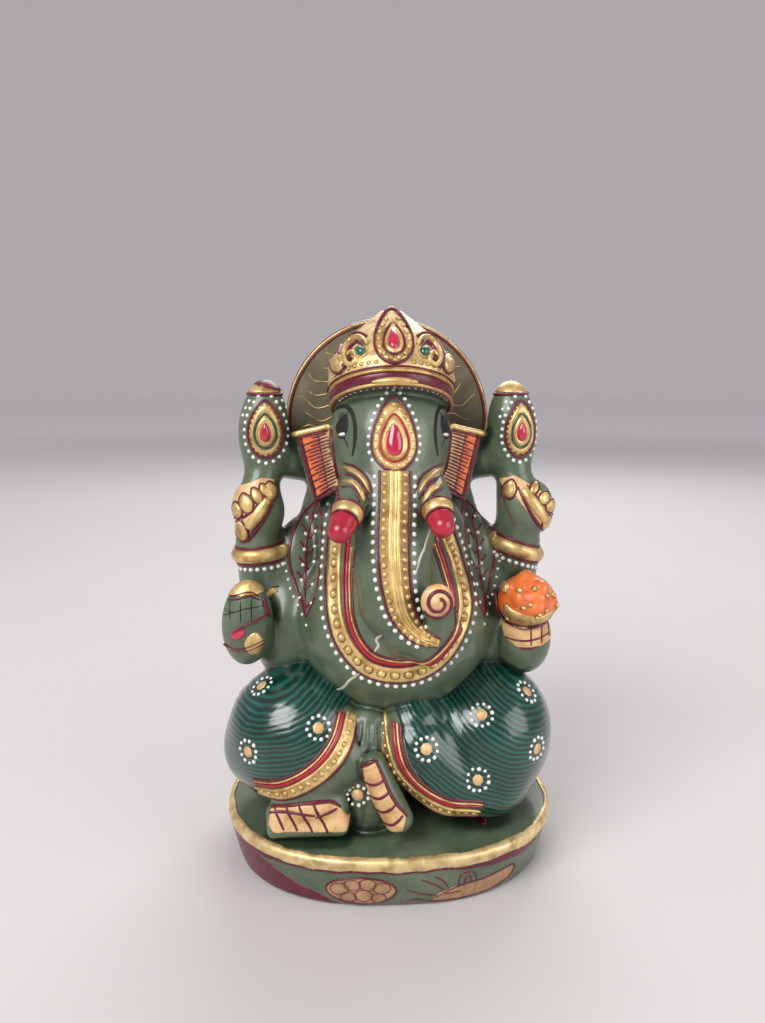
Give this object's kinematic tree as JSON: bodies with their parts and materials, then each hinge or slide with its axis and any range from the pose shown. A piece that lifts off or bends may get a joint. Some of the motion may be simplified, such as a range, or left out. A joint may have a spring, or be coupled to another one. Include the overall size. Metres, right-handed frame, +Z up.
{
  "type": "ganesha idol",
  "caption": "Seated elephant-headed idol carved in green stone, with raised gilt and lacquer ornament, jewelled crown and halo, on a rounded plinth.",
  "frame": {"origin": "middle of the plinth's flat underside, which rests on the table", "axes": "+Z up, the idol faces -Y, +X towards the viewer's right (the idol's own left hand, which holds the sweet)"},
  "size_m": [0.0928, 0.0749, 0.1497],
  "materials": {
    "stone": "polished",
    "gilding": "gold leaf on raised paste, satin",
    "maroon_lacquer": "glossy",
    "red_lacquer": "glossy",
    "orange_lacquer": "glossy",
    "green_enamel": "glossy",
    "white_enamel": "glossy",
    "black_paint": "satin",
    "ruby": "cut and polished",
    "emerald": "cut and polished"
  },
  "bodies": {
    "root": {"bangle_left": "gilding", "bangle_right": "gilding", "base_rim_band": "gilding", "blessing_hand_fingertips": "gilding", "blessing_palm_oval": "gilding", "blessing_thumb_tip": "gilding", "brow_clasp": "gilding", "crown_centre_plaque": "gilding", "crown_centre_ruby": "ruby", "crown_emerald_left": "emerald", "crown_emerald_right": "emerald", "crown_rim_band": "maroon_lacquer", "crown_rim_cord_lower_left": "gilding", "crown_rim_cord_lower_right": "gilding", "crown_rim_cord_upper": "gilding", "crown_scroll_left": "gilding", "crown_scroll_right": "gilding", "crown_shell": "gilding", "crown_side_rosette_left": "gilding", "crown_side_rosette_right": "gilding", "dhoti_boss_centre": "gilding", "dhoti_boss_left_1": "gilding", "dhoti_boss_left_2": "gilding", "dhoti_boss_left_3": "gilding", "dhoti_boss_right_1": "gilding", "dhoti_boss_right_2": "gilding", "dhoti_boss_right_3": "gilding", "dhoti_boss_right_4": "gilding", "dhoti_boss_right_5": "gilding", "dhoti_enamel_left": "green_enamel", "dhoti_enamel_right": "green_enamel", "ear_border_left": "orange_lacquer", "ear_border_right": "orange_lacquer", "ear_panel_left": "gilding", "ear_panel_right": "gilding", "fist_gilding_left": "gilding", "fist_gilding_right": "gilding", "hem_band_left": "gilding", "hem_band_right": "gilding", "modak_coat": "orange_lacquer", "modak_hand_gilding": "gilding", "necklace_band": "gilding", "necklace_lining": "red_lacquer", "stone_carving": "stone", "tilak_plaque": "gilding", "tilak_ruby": "ruby", "toes_left": "gilding", "toes_right": "gilding", "trunk_strip": "gilding", "trunk_tip_rosette": "gilding", "tusk_sheath_left": "gilding", "tusk_sheath_right": "gilding", "tusk_tip_left": "red_lacquer", "tusk_tip_right": "red_lacquer", "upper_hand_cap_left": "gilding", "upper_hand_cap_right": "gilding", "upper_hand_plaque_left": "gilding", "upper_hand_plaque_right": "gilding", "upper_hand_ruby_left": "ruby", "upper_hand_ruby_right": "ruby"}
  },
  "joints": []
}
